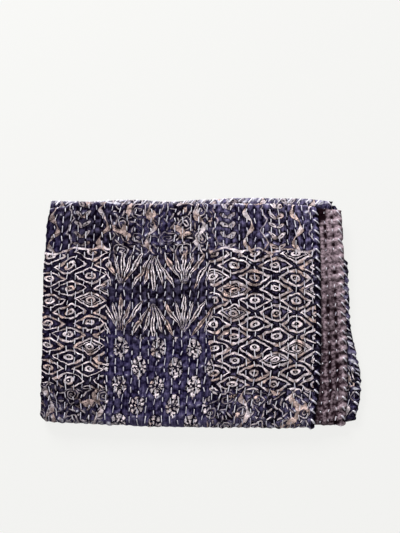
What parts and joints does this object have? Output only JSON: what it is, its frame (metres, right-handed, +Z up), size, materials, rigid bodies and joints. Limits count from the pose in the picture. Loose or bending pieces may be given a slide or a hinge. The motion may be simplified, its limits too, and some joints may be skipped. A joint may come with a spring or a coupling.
{
  "type": "folded kantha quilt",
  "caption": "Quilted cotton throw with a block-printed face and a plain back, joined by rows of running stitch, folded lengthwise and across into a flat packet.",
  "frame": {"origin": "middle of the packet's footprint, on the surface that it lies on", "axes": "+X from the side fold towards the open side hems, +Y away from the near fold towards the end hems, +Z up"},
  "size_m": [0.4788, 0.3452, 0.0281],
  "materials": {
    "printed_cotton": "matte",
    "plain_cotton": "matte",
    "stitch_thread": "matte"
  },
  "bodies": {
    "root": {"printed_face": "printed_cotton", "plain_back": "plain_cotton"}
  },
  "joints": []
}
